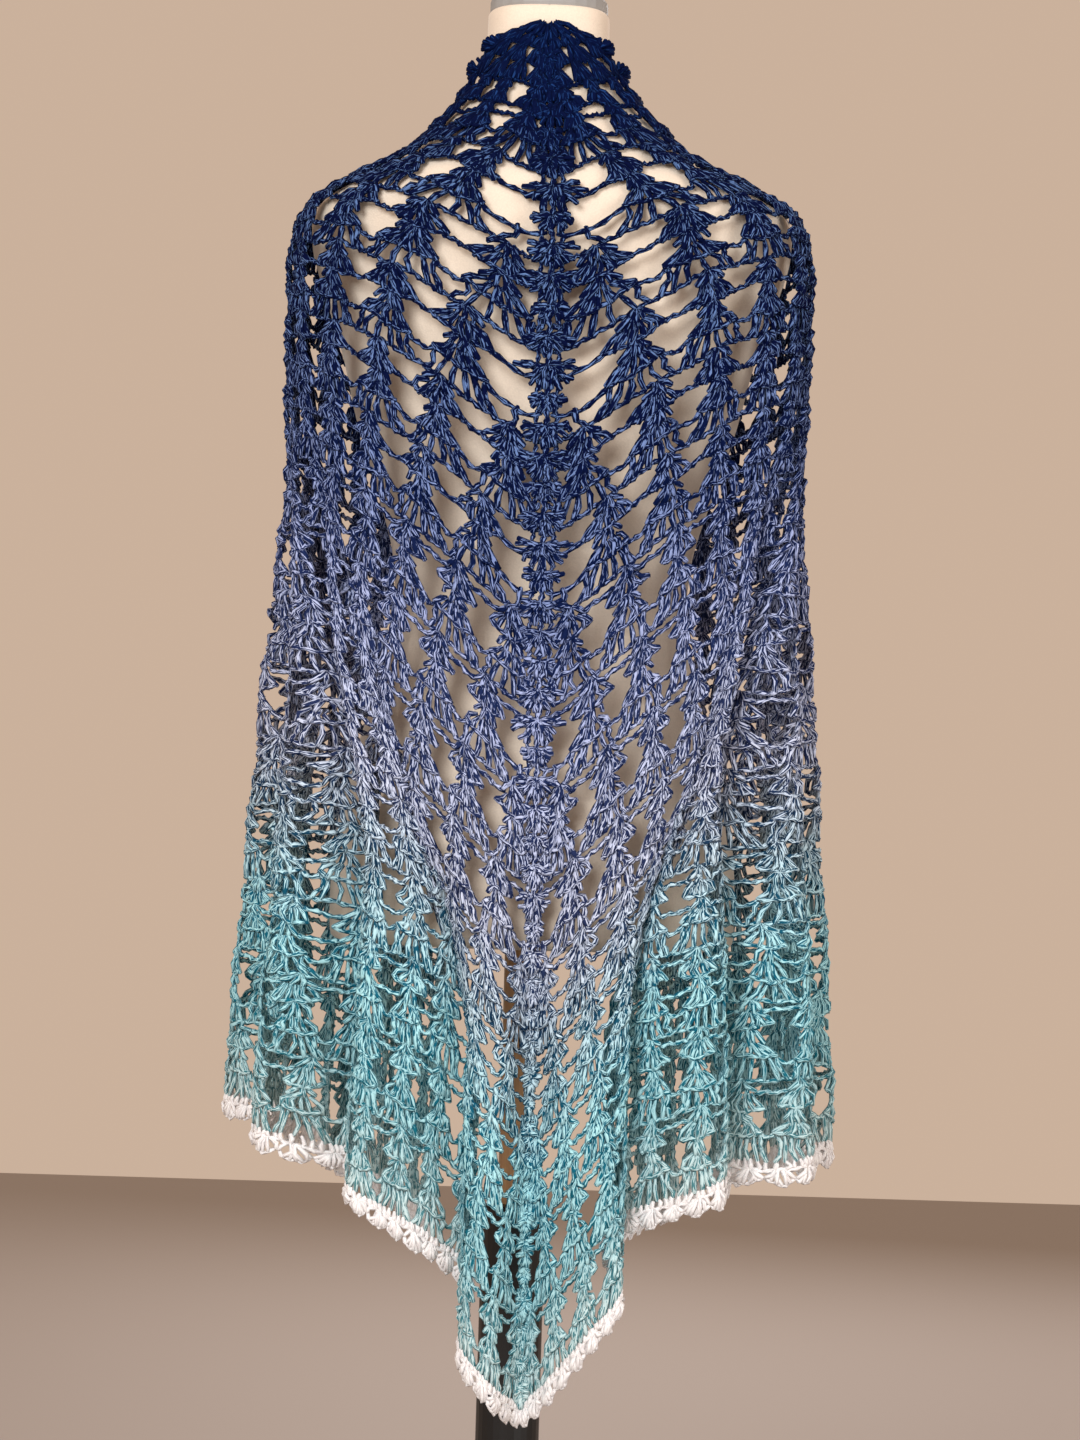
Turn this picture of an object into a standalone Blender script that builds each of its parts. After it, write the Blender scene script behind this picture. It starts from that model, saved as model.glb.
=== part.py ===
"""A triangular crochet lace shawl worn on a limbless dress form with a round stand.

Metres, +Z up, the back of the garment faces -Y, the origin is under the middle of the base.
The cloth is one curved sheet.  A point of it has two shares: "across" runs from the spine
(0) to the front edge (1) on the right, or to -1 on the left, and "down" runs from the
starting ring at the neck (0) to the hem (1).  Every piece of the shawl is cut from that
sheet, thickened along its normals, and stays clear of the form.
"""
import math

import bpy
import bmesh
import numpy as np
from mathutils import Vector
from mathutils.geometry import delaunay_2d_cdt

# Cloth
WALL = 0.0022            # thickness of the crocheted fabric
SEAM = 0.00035           # clearance kept between neighbouring pieces
SPINE_HALF = 0.011       # half width of the dense centre column
EDGE_BAND = 0.012        # width of the border along the front edges
START = 0.030            # share of the depth taken by the starting ring
START_TOP = 0.008
HEM_DEEP = 0.021         # depth of the shell edging
HEM_NOTCH = 0.007        # depth of the notch between two shells
SHELLS = 62              # shells on each half of the hem
ROW_COUNT = 16           # pattern rows from neck to hem
FULL_ROWS = 7            # rows whose every large opening is cut
DOWN_SCALE = 1.10        # metres of cloth for the whole depth

# Form and stand
NECK_TOP = 1.5850
CAP_TOP = 1.6000
TORSO_BOTTOM = 0.800
POST_RADIUS = 0.014
COLUMN_RADIUS = 0.027
COLUMN_TOP = 0.577
BASE_RADIUS = 0.190
BASE_RIM = 0.010
BASE_HUB = 0.034
FORM_GAP = 0.0016        # sideways, between the form and the cloth's inner face
FORM_DROP = 0.0028       # the form's shoulders lie this much lower than the cloth's sheet

# The cloth's envelope: height, half width, back depth, front depth, centre in X
ENVELOPE = np.array((
    (1.600, 0.0540, 0.0540, 0.0540, 0.000),
    (1.572, 0.0545, 0.0545, 0.0545, 0.000),
    (1.550, 0.0565, 0.0580, 0.0560, 0.000),
    (1.530, 0.0620, 0.0650, 0.0600, 0.001),
    (1.515, 0.0700, 0.0715, 0.0650, 0.002),
    (1.495, 0.0890, 0.0810, 0.0740, 0.003),
    (1.472, 0.1120, 0.0920, 0.0840, 0.004),
    (1.455, 0.1340, 0.1000, 0.0930, 0.005),
    (1.441, 0.1660, 0.1060, 0.0990, 0.006),
    (1.430, 0.1880, 0.1095, 0.1040, 0.007),
    (1.418, 0.2040, 0.1135, 0.1090, 0.008),
    (1.400, 0.2150, 0.1185, 0.1170, 0.008),
    (1.370, 0.2190, 0.1235, 0.1260, 0.008),
    (1.300, 0.2190, 0.1270, 0.1380, 0.008),
    (1.170, 0.2150, 0.1285, 0.1460, 0.008),
    (1.040, 0.2200, 0.1310, 0.1480, 0.008),
    (0.870, 0.2310, 0.1390, 0.1500, 0.009),
    (0.700, 0.2430, 0.1450, 0.1540, 0.010),
    (0.350, 0.2560, 0.1500, 0.1560, 0.010),
))
SQUARE = 0.30            # how boxy the envelope's sections are

# Where a row lies: down, spine height, side azimuth, side height, edge azimuth, edge height
ROWS = np.array((
    (0.000, 1.572, 0.0, 1.572, 0.0, 1.572),
    (0.035, 1.530, 22.0, 1.545, 48.0, 1.556),
    (0.072, 1.490, 40.0, 1.510, 86.0, 1.525),
    (0.110, 1.450, 54.0, 1.476, 122.0, 1.485),
    (0.153, 1.400, 67.0, 1.448, 140.0, 1.442),
    (0.200, 1.344, 78.0, 1.422, 150.0, 1.390),
    (0.250, 1.286, 85.0, 1.383, 155.0, 1.334),
    (0.300, 1.227, 88.0, 1.335, 157.0, 1.277),
    (0.500, 0.998, 90.5, 1.145, 158.0, 1.060),
    (0.750, 0.716, 92.0, 0.903, 159.0, 0.798),
    (1.000, 0.4370, 93.0, 0.652, 160.0, 0.540),
))
SIDE_LIFT = 0.013        # the left side hangs this much higher at the hem, the right lower
NECK_POWER = 3.0         # how fast a row climbs from the spine, at the neck
HEM_POWER = (2.0, 3.1)   # and at the hem, left and right
FRONT_POWER = 1.15       # how it falls again from the side to the front edge
FADE = 0.30              # height over which a fold opens

# Folds: across, azimuth at the hem, depth (outward positive), height where the fold starts
FOLDS_LEFT = np.array((
    (0.000, 0.0, -0.016, 0.98),
    (0.050, 6.0, 0.020, 1.00),
    (0.090, 10.8, 0.013, 1.00),
    (0.145, 10.5, -0.030, 0.98),
    (0.205, 19.0, -0.008, 1.10),
    (0.275, 33.0, 0.016, 1.15),
    (0.325, 39.0, -0.032, 1.25),
    (0.385, 57.0, 0.020, 1.28),
    (0.440, 72.0, -0.030, 1.28),
    (0.505, 91.0, 0.012, 1.28),
    (0.570, 106.0, -0.028, 1.28),
    (0.640, 118.0, 0.018, 1.25),
    (0.710, 128.0, -0.028, 1.20),
    (0.780, 137.0, 0.018, 1.15),
    (0.850, 145.0, -0.025, 1.10),
    (0.920, 153.0, 0.015, 1.10),
    (1.000, 160.0, -0.004, 1.10),
))
FOLDS_RIGHT = np.array((
    (0.000, 0.0, -0.016, 0.98),
    (0.045, 6.0, 0.004, 1.00),
    (0.085, 12.0, 0.016, 1.00),
    (0.125, 17.5, 0.010, 1.00),
    (0.180, 16.0, -0.034, 1.00),
    (0.235, 25.0, -0.004, 1.10),
    (0.285, 37.0, 0.018, 1.20),
    (0.335, 43.0, -0.032, 1.25),
    (0.400, 61.0, 0.020, 1.28),
    (0.460, 77.0, -0.030, 1.28),
    (0.520, 93.0, 0.012, 1.28),
    (0.580, 107.0, -0.028, 1.28),
    (0.650, 119.0, 0.018, 1.25),
    (0.720, 129.0, -0.028, 1.20),
    (0.790, 138.0, 0.018, 1.15),
    (0.860, 146.0, -0.025, 1.10),
    (0.930, 153.5, 0.015, 1.10),
    (1.000, 160.0, -0.004, 1.10),
))

# The form below the shoulders: height, half width, back depth, front depth
FORM = np.array((
    (1.406, 0.2040, 0.1080, 0.1030),
    (1.385, 0.2030, 0.1100, 0.1080),
    (1.345, 0.1920, 0.1110, 0.1160),
    (1.290, 0.1740, 0.1090, 0.1260),
    (1.240, 0.1620, 0.1030, 0.1300),
    (1.180, 0.1430, 0.0950, 0.1120),
    (1.120, 0.1270, 0.0880, 0.0930),
    (1.080, 0.1240, 0.0860, 0.0890),
    (1.030, 0.1310, 0.0920, 0.0930),
    (0.960, 0.1530, 0.1060, 0.1020),
    (0.890, 0.1680, 0.1150, 0.1060),
    (0.830, 0.1720, 0.1160, 0.1060),
    (0.800, 0.1710, 0.1140, 0.1046),
))
FORM_SIDES = 26


def follow(x, xs, ys, level_start=False):
    """Read a table at x: a smooth curve through its points that never overshoots them."""
    rise = np.diff(ys) / np.diff(xs)
    slope = np.zeros_like(ys)
    same = rise[:-1] * rise[1:] > 0
    slope[1:-1] = np.where(same, 2 * rise[:-1] * rise[1:] / np.where(same, rise[:-1] + rise[1:], 1), 0)
    slope[0] = 0.0 if level_start else rise[0]
    slope[-1] = rise[-1]
    i = np.clip(np.searchsorted(xs, x, side="right") - 1, 0, len(xs) - 2)
    step = xs[i + 1] - xs[i]
    u = np.clip((x - xs[i]) / step, 0, 1)
    return ((1 + 2 * u) * (1 - u) ** 2 * ys[i] + u * (1 - u) ** 2 * step * slope[i]
            + u * u * (3 - 2 * u) * ys[i + 1] + u * u * (u - 1) * step * slope[i + 1])


def soft_step(u):
    """0 below 0, 1 above 1, and a smooth ramp between."""
    u = np.clip(u, 0, 1)
    return u * u * (3 - 2 * u)


def section(table, z, azimuth, outward=0.0):
    """A point of a boxy oval section at height z, moved outward by a distance."""
    half, back, front = (follow(-z, -table[:, 0], table[:, k]) for k in (1, 2, 3))
    sin, cos = np.sin(azimuth), np.cos(azimuth)
    deep = np.where(cos > 0, back, front)
    normal_x, normal_y = sin / half, -cos / deep
    norm = np.hypot(normal_x, normal_y)
    return (half * sin + outward * normal_x / norm,
            -deep * (1 + SQUARE * sin ** 2) * cos + outward * normal_y / norm)


def climb(u, power):
    """How much of its rise a row has made at share u of the way from spine to side."""
    soft = np.clip(1.10 * u * u / (u + 0.10), 0, 1)
    return 1 - (1 - soft) ** power


def drape(across, down):
    """The middle surface of the cloth: arrays of shares in, points out."""
    across, down = np.broadcast_arrays(np.asarray(across, float), np.asarray(down, float))
    side = np.where(across < 0, -1.0, 1.0)
    s = np.clip(np.abs(across), 0, 1)
    t = np.clip(down, 0, 1)
    spine, side_az, side_z, edge_az, edge_z = (follow(t, ROWS[:, 0], ROWS[:, k]) for k in range(1, 6))
    side_z = side_z - side * SIDE_LIFT * t * t
    power = NECK_POWER + (np.where(side < 0, *HEM_POWER) - NECK_POWER) * t * t
    to_side = np.clip(2 * s, 0, 1)
    to_edge = np.clip(2 * s - 1, 0, 1)
    z = np.where(s < 0.5, spine + (side_z - spine) * climb(to_side, power),
                 side_z + (edge_z - side_z) * to_edge ** FRONT_POWER)
    z = z - (down - t)
    azimuth = 4 * s * (1 - s) * side_az + s * (2 * s - 1) * edge_az
    hem_az, depth, start = (np.where(side < 0, follow(s, FOLDS_LEFT[:, 0], FOLDS_LEFT[:, k], k > 1),
                                     follow(s, FOLDS_RIGHT[:, 0], FOLDS_RIGHT[:, k], k > 1)) for k in (1, 2, 3))
    open_ = soft_step((start - z) / FADE)
    azimuth = np.radians(azimuth + (hem_az - azimuth) * open_)
    x, y = section(ENVELOPE, z, azimuth, depth * open_)
    centre = follow(-z, -ENVELOPE[:, 0], ENVELOPE[:, 4])
    return np.stack([side * x + centre, y, z], -1)


def normals(across, down):
    """Unit normals of the middle surface, pointing away from the body."""
    step = 0.0015
    low, high = np.clip(across - step, -1, 1), np.clip(across + step, -1, 1)
    along = drape(high, down) - drape(low, down)
    fall = drape(across, down + step) - drape(across, down - step)
    n = np.cross(fall, along)
    return n / np.linalg.norm(n, axis=-1, keepdims=True)


def row_length(down):
    """Length of one half of a row, spine to front edge."""
    s = np.linspace(0, 1, 200)
    path = drape(s, np.full_like(s, down))
    return float(np.linalg.norm(np.diff(path, axis=0), axis=1).sum())


ROW_LENGTHS = np.array([(t, row_length(max(t, 0.004))) for t in np.linspace(0, 1, 21)])


def to_flat(across, down):
    """Lay shares out in metres, so that triangles drawn there are well shaped."""
    length = np.interp(down, ROW_LENGTHS[:, 0], ROW_LENGTHS[:, 1])
    return across * length, down * DOWN_SCALE


def share_of(width, across, down):
    """The change of the across share that a width makes near a point."""
    step = 0.004
    inner = across - math.copysign(step, across) if abs(across) > 0.5 else across + step
    span = np.linalg.norm(drape(across, down) - drape(inner, down))
    return width * step / float(span)


def sheet(name, outline, openings, inside, colour):
    """One closed wall of cloth: outline, openings and inner points are lists of shares."""
    points = []
    edges = []
    for loop in [outline] + openings:
        first = len(points)
        points.extend(loop)
        edges.extend((first + i, first + (i + 1) % len(loop)) for i in range(len(loop)))
    points.extend(inside)
    shares = np.array(points)
    flat_x, flat_y = to_flat(shares[:, 0], shares[:, 1])
    flat = [Vector((float(x), float(y))) for x, y in zip(flat_x, flat_y)]
    verts, _, faces, origin, _, _ = delaunay_2d_cdt(flat, edges, [], 1, 1e-7)
    if len(verts) != len(flat):
        raise RuntimeError(f"{name}: the outline crosses itself")
    order = [o[0] for o in origin]
    shares = shares[order]
    loops = [np.array([flat[i] for i in range(a, b)]) for a, b in loop_ranges([outline] + openings)]
    flat = np.array([flat[i] for i in order])
    faces = [f for f in faces if keeps(flat[list(f)].mean(axis=0), loops)]
    middle = drape(shares[:, 0], shares[:, 1])
    offset = normals(shares[:, 0], shares[:, 1]) * WALL / 2
    count = len(middle)
    bm = bmesh.new()
    for co in np.concatenate([middle + offset, middle - offset]):
        bm.verts.new(co)
    bm.verts.ensure_lookup_table()
    turn = face_turn(middle, offset, faces[0])
    used = {}
    for face in faces:
        face = face if turn > 0 else face[::-1]
        bm.faces.new([bm.verts[i] for i in face])
        bm.faces.new([bm.verts[i + count] for i in face[::-1]])
        for a, b in zip(face, face[1:] + face[:1]):
            used[(a, b)] = True
    rank = [(round(float(t), 3), abs(float(s))) for s, t in shares]
    for a, b in used:
        if (b, a) in used:
            continue
        ring = (b, a, a + count, b + count) if rank[a] < rank[b] else (a, a + count, b + count, b)
        bm.faces.new([bm.verts[ring[i]] for i in (0, 1, 2)])
        bm.faces.new([bm.verts[ring[i]] for i in (0, 2, 3)])
    bmesh.ops.delete(bm, geom=[v for v in bm.verts if not v.link_faces], context="VERTS")
    bmesh.ops.triangulate(bm, faces=bm.faces)
    return finish_mesh(name, bm, colour, 0.85)


def loop_ranges(loops):
    """First and last index of each loop in a joined list of points."""
    first = 0
    for loop in loops:
        yield first, first + len(loop)
        first += len(loop)


def inside_loop(point, loop):
    """Whether a flat point lies inside a closed loop, by counting crossings."""
    x, y = loop[:, 0], loop[:, 1]
    x2, y2 = np.roll(x, -1), np.roll(y, -1)
    spans = (y > point[1]) != (y2 > point[1])
    cut = x + (point[1] - y) * (x2 - x) / np.where(spans, y2 - y, 1)
    return bool(np.count_nonzero(spans & (cut > point[0])) % 2)


def keeps(point, loops):
    """Whether a flat point lies on the cloth: inside the outline and in no opening."""
    return inside_loop(point, loops[0]) and not any(inside_loop(point, loop) for loop in loops[1:])


def face_turn(middle, offset, face):
    """Positive when a face's corners turn the way of the outward normals."""
    a, b, c = (middle[i] for i in face[:3])
    return float(np.dot(np.cross(b - a, c - a), offset[face[0]]))


def finish_mesh(name, bm, colour, roughness, metallic=0.0):
    """Turn a bmesh into a named object with its own material."""
    mesh = bpy.data.meshes.new(name)
    bm.to_mesh(mesh)
    bm.free()
    piece = bpy.data.objects.new(name, mesh)
    bpy.context.scene.collection.objects.link(piece)
    mesh.shade_smooth()
    mesh.set_sharp_from_angle(angle=math.radians(40))
    material = bpy.data.materials.new(name)
    material.use_nodes = True
    shader = material.node_tree.nodes["Principled BSDF"]
    shader.inputs["Base Color"].default_value = (*colour, 1)
    shader.inputs["Roughness"].default_value = roughness
    shader.inputs["Metallic"].default_value = metallic
    mesh.materials.append(material)
    return piece


def rings_solid(name, rings, colour, roughness, metallic=0.0):
    """A closed solid skinned over rings of points listed from the bottom up."""
    bm = bmesh.new()
    loops = [[bm.verts.new(co) for co in ring] for ring in rings]
    for low, high in zip(loops, loops[1:]):
        for i in range(len(low)):
            k = (i + 1) % len(low)
            bm.faces.new((low[i], low[k], high[k], high[i]))
    bm.faces.new(loops[0][::-1])
    bm.faces.new(loops[-1])
    bmesh.ops.triangulate(bm, faces=bm.faces)
    return finish_mesh(name, bm, colour, roughness, metallic)


def turned(name, profile, sides, colour, roughness, metallic=0.0):
    """A solid turned about the Z axis from (radius, height) pairs listed from the bottom up."""
    angle = np.linspace(0, 2 * math.pi, sides, endpoint=False)
    rings = [[(r * math.cos(a), r * math.sin(a), z) for a in angle] for r, z in profile]
    return rings_solid(name, rings, colour, roughness, metallic)


# Colours
NAVY = (0.020, 0.045, 0.150)
BLUE = (0.130, 0.190, 0.480)
WHITE = (0.860, 0.800, 0.760)
CREAM = (0.780, 0.700, 0.600)
GREY = (0.350, 0.340, 0.330)
WOOD = (0.420, 0.230, 0.100)
BLACK = (0.008, 0.008, 0.009)

for old in list(bpy.data.objects):
    bpy.data.objects.remove(old, do_unlink=True)

# Shared lines of division, so that neighbours meet vertex to vertex
seam_downs = list(np.arange(START, 0.16, 0.010)) + list(np.arange(0.165, 0.30, 0.018)) + list(np.linspace(0.31, 1.0, 25))
start_shares = (0.28, 0.40, 0.52, 0.64, 0.74)


def fold_shares(side, parts):
    """Shares at the ridges and valleys of the folds, and between them."""
    keys = (FOLDS_LEFT if side < 0 else FOLDS_RIGHT)[:, 0]
    return np.interp(np.arange(1, parts * (len(keys) - 1)) / parts, np.arange(len(keys)), keys)


FILL_DOWNS = list(np.arange(0.045, 0.30, 0.017)) + [j / ROW_COUNT for j in range(5, ROW_COUNT)]


def spine_share(side, down, extra=0.0):
    """Share at which the spine column ends at a depth."""
    return side * share_of(SPINE_HALF + extra, side * 1e-6, down)


def band_share(side, down, extra=0.0):
    """Share at which the front edge's band begins at a depth."""
    return side * (1 - share_of(EDGE_BAND + extra, side, down))


def filling(side, outline, openings, taken):
    """Inner points that let the sheet bend: rows of them, away from every other point."""
    shares = np.array(outline + [p for loop in openings for p in loop] + taken)
    used = np.stack(to_flat(shares[:, 0], shares[:, 1]), -1)
    points = []
    ridges = fold_shares(side, 2)
    for number, down in enumerate(FILL_DOWNS):
        length = row_length(down)
        count = max(2, round(length / 0.021))
        even = (np.arange(count) + 0.5 * (number % 2) + 0.25) / count
        for share in side * (even if down < 0.3 else ridges):
            if not abs(spine_share(side, down, SEAM)) < abs(share) < abs(band_share(side, down, SEAM)):
                continue
            spot = np.array(to_flat(share, down))
            if np.hypot(*(used - spot).T).min() > (0.0105 if down < 0.3 else 0.0075):
                points.append((share, down))
                used = np.vstack([used, spot])
    return points


def lace(side):
    """One half of the lace, with the largest openings of its pattern rows cut through."""
    seam = SEAM / DOWN_SCALE
    inner = [(spine_share(side, t, SEAM), t) for t in seam_downs]
    outer = [(band_share(side, t, SEAM), t) for t in seam_downs]
    inner[0] = (inner[0][0], START + seam)
    outer[0] = (outer[0][0], START + seam)
    top = [(side * s, START + seam) for s in start_shares if abs(inner[0][0]) + 0.05 < s < abs(outer[0][0]) - 0.05]
    hem = [(side * s, 1.0) for s in fold_shares(side, 3) if abs(inner[-1][0]) + 0.004 < s < abs(outer[-1][0]) - 0.004]
    outline = inner[::-1] + top + outer + hem[::-1]
    openings = []
    inside = []
    for row in range(2, ROW_COUNT + 1):
        middle = (row - 0.45) / ROW_COUNT
        shift = 0.5 if row % 2 else 0.0
        half_w = 0.31 - 0.05 * middle
        half_h = (0.17 + 0.09 * middle) / ROW_COUNT
        every = 1 if row <= FULL_ROWS else 2
        for i in range(2 * row + 1):
            share = (i + shift) / (2 * row)
            wide = half_w / (2 * row)
            low_s = abs(spine_share(side, middle, SEAM)) + 0.0045 / row_length(middle)
            high_s = abs(band_share(side, middle, SEAM)) - 0.0045 / row_length(middle)
            if share - wide < low_s or share + wide > high_s:
                continue
            if (i + row // 2) % every:
                inside.append((side * share, middle))
                continue
            if row <= FULL_ROWS:
                corners = ((-1, 0), (-0.5, -1), (0.5, -1), (1, 0), (0.5, 1), (-0.5, 1))
            else:
                corners = ((-1, -0.1), (0, -1), (1, 0.1), (0, 1))
            openings.append([(side * (share + a * wide), middle + b * half_h) for a, b in corners])
    inside += filling(side, outline, openings, inside)
    name = "lace_left" if side < 0 else "lace_right"
    return sheet(name, outline, openings, inside, BLUE), len(openings)


def spine():
    """The starting ring at the neck and the dense centre column down to the hem."""
    outline = []
    for side in (1, -1):
        reach = [(spine_share(side, START), START)]
        reach += [(side * s, START) for s in start_shares
                  if abs(reach[0][0]) + 0.05 < s < abs(band_share(side, START, SEAM)) - 0.05]
        reach += [(band_share(side, START, SEAM), START), (side, START)]
        top = [(side, 0.5 * (START + START_TOP)), (side, START_TOP)]
        column = [(spine_share(side, t), t) for t in seam_downs[1:]]
        run = column[::-1] + reach + top
        outline += run if side > 0 else run[::-1]
    inside = [(s, 0.5 * (START + START_TOP)) for s in (-0.75, -0.5, -0.25, 0.0, 0.25, 0.5, 0.75)]
    inside += [(0.0, t) for t in seam_downs]
    return sheet("spine_column", outline, [], inside, NAVY)


def under(across):
    """How far below the hem line the edging starts there: more where the line runs steeply."""
    step = drape(across + 0.001, 1.0) - drape(across - 0.001, 1.0)
    return SEAM * float(np.linalg.norm(step) / max(np.hypot(step[0], step[1]), 1e-6))


def edge_band(side):
    """The narrow border along one front edge."""
    seam = SEAM / DOWN_SCALE
    downs = [START + seam] + seam_downs[1:]
    inner = [(band_share(side, t), t) for t in downs]
    inner[0] = (band_share(side, START), START + seam)
    outer = [(side * 1.0, t) for t in downs]
    return sheet("edge_left" if side < 0 else "edge_right", inner + outer[::-1], [], [], NAVY)


def hem(side):
    """The shell edging along one half of the hem."""
    first = SEAM / 2 / row_length(1.0)
    shares = [first, abs(spine_share(side, 1.0))]
    shares += [s for s in fold_shares(side, 3) if shares[1] + 0.004 < s < abs(band_share(side, 1.0, SEAM)) - 0.004]
    shares += [abs(band_share(side, 1.0)), 1.0]
    top = [(side * s, 1.0 + under(side * s)) for s in shares]
    bottom = []
    for i in range(2 * SHELLS + 1):
        s = first + (1 - first) * i / (2 * SHELLS)
        deep = HEM_DEEP if i % 2 else HEM_DEEP - HEM_NOTCH
        bottom.append((side * s, 1.0 + deep))
    return sheet("hem_left" if side < 0 else "hem_right", top + bottom[::-1], [], [], WHITE)


cut = 0
for side in (-1, 1):
    piece, openings = lace(side)
    cut += openings
    edge_band(side)
    hem(side)
spine()

# The form: neck and shoulders follow the cloth, the rest has its own sections
angles = np.linspace(0, 2 * math.pi, FORM_SIDES, endpoint=False)
rings = []
for height in FORM[::-1, 0]:
    x, y = section(FORM, np.full(FORM_SIDES, height), angles)
    rings.append([(0.008 + a, b, height) for a, b in zip(x, y)])
for height in (1.418, 1.430, 1.441, 1.455, 1.472, 1.495, 1.515, 1.530, 1.550, NECK_TOP):
    z = np.full(FORM_SIDES, height + FORM_DROP)
    x, y = section(ENVELOPE, z, angles, -(WALL / 2 + FORM_GAP))
    centre = follow(-z, -ENVELOPE[:, 0], ENVELOPE[:, 4])
    rings.append([(a + c, b, height) for a, b, c in zip(x, y, centre)])
rings_solid("form_torso", rings, CREAM, 0.8)
turned("neck_cap", ((0.0490, NECK_TOP + 0.0003), (0.0500, 1.5880), (0.0500, 1.5960), (0.0470, CAP_TOP)), 28, GREY, 0.6)

# The stand
turned("form_post", ((POST_RADIUS, COLUMN_TOP + 0.0003), (POST_RADIUS, TORSO_BOTTOM - 0.0003)), 16, WOOD, 0.5)
turned("stand_column", ((COLUMN_RADIUS, BASE_HUB + 0.0003), (COLUMN_RADIUS, COLUMN_TOP - 0.003),
                        (COLUMN_RADIUS - 0.003, COLUMN_TOP)), 28, BLACK, 0.35)
turned("stand_base", ((BASE_RADIUS - 0.002, 0.0), (BASE_RADIUS, 0.002), (BASE_RADIUS, BASE_RIM - 0.002),
                      (BASE_RADIUS - 0.003, BASE_RIM), (0.060, 0.022), (0.036, 0.028),
                      (0.034, BASE_HUB)), 40, BLACK, 0.4)
print("openings cut", cut)
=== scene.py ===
# %% [markdown]
# # A triangular crochet lace shawl on a dress form
# The shawl is worked from the neck down in one yarn that changes colour slowly, from navy
# through periwinkle to turquoise, and is finished with white shells along the hem.
# This lesson lays every stitch as a short closed tube on one curved sheet of cloth.

# %% Load the frame
import math

import bpy
import numpy as np
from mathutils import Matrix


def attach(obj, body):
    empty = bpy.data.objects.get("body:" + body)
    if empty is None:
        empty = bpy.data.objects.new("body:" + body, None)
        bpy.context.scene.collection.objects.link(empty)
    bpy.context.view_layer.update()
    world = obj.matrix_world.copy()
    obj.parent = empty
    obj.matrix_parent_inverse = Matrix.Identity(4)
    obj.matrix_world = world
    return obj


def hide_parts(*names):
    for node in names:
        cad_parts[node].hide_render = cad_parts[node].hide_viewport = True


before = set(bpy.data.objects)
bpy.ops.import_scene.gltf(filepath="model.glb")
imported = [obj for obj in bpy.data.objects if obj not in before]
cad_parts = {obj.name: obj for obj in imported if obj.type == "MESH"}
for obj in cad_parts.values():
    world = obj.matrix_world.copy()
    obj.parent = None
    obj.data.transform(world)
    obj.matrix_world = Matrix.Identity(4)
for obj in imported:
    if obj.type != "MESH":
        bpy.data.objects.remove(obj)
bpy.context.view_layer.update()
rng = np.random.default_rng(7)

# %% [markdown]
# ## The sheet that the cloth follows
# Cloth hangs in a shape that is easier to state in tables than to simulate: an envelope of
# oval sections from neck to floor, the curve that each row of stitches takes round the body,
# and the folds that open below the shoulders. The same tables shaped the solids of the part.

# %% Tables of the drape, in metres and degrees
ROW_COUNT = 16           # pattern rows from neck to hem
DOWN_SCALE = 1.10        # metres of cloth from neck to hem
SQUARE = 0.30            # how boxy the envelope's sections are
# height, half width, back depth, front depth, centre in X
ENVELOPE = np.array((
    (1.600, 0.0540, 0.0540, 0.0540, 0.000), (1.572, 0.0545, 0.0545, 0.0545, 0.000),
    (1.550, 0.0565, 0.0580, 0.0560, 0.000), (1.530, 0.0620, 0.0650, 0.0600, 0.001),
    (1.515, 0.0700, 0.0715, 0.0650, 0.002), (1.495, 0.0890, 0.0810, 0.0740, 0.003),
    (1.472, 0.1120, 0.0920, 0.0840, 0.004), (1.455, 0.1340, 0.1000, 0.0930, 0.005),
    (1.441, 0.1660, 0.1060, 0.0990, 0.006), (1.430, 0.1880, 0.1095, 0.1040, 0.007),
    (1.418, 0.2040, 0.1135, 0.1090, 0.008), (1.400, 0.2150, 0.1185, 0.1170, 0.008),
    (1.370, 0.2190, 0.1235, 0.1260, 0.008), (1.300, 0.2190, 0.1270, 0.1380, 0.008),
    (1.170, 0.2150, 0.1285, 0.1460, 0.008), (1.040, 0.2200, 0.1310, 0.1480, 0.008),
    (0.870, 0.2310, 0.1390, 0.1500, 0.009), (0.700, 0.2430, 0.1450, 0.1540, 0.010),
    (0.350, 0.2560, 0.1500, 0.1560, 0.010),
))
# down, spine height, side azimuth, side height, edge azimuth, edge height
ROWS = np.array((
    (0.000, 1.572, 0.0, 1.572, 0.0, 1.572), (0.035, 1.530, 22.0, 1.545, 48.0, 1.556),
    (0.072, 1.490, 40.0, 1.510, 86.0, 1.525), (0.110, 1.450, 54.0, 1.476, 122.0, 1.485),
    (0.153, 1.400, 67.0, 1.448, 140.0, 1.442), (0.200, 1.344, 78.0, 1.422, 150.0, 1.390),
    (0.250, 1.286, 85.0, 1.383, 155.0, 1.334), (0.300, 1.227, 88.0, 1.335, 157.0, 1.277),
    (0.500, 0.998, 90.5, 1.145, 158.0, 1.060), (0.750, 0.716, 92.0, 0.903, 159.0, 0.798),
    (1.000, 0.4370, 93.0, 0.652, 160.0, 0.540),
))
SIDE_LIFT = 0.013
NECK_POWER, HEM_POWER, FRONT_POWER = 3.0, (2.0, 3.1), 1.15
FADE = 0.30
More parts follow.
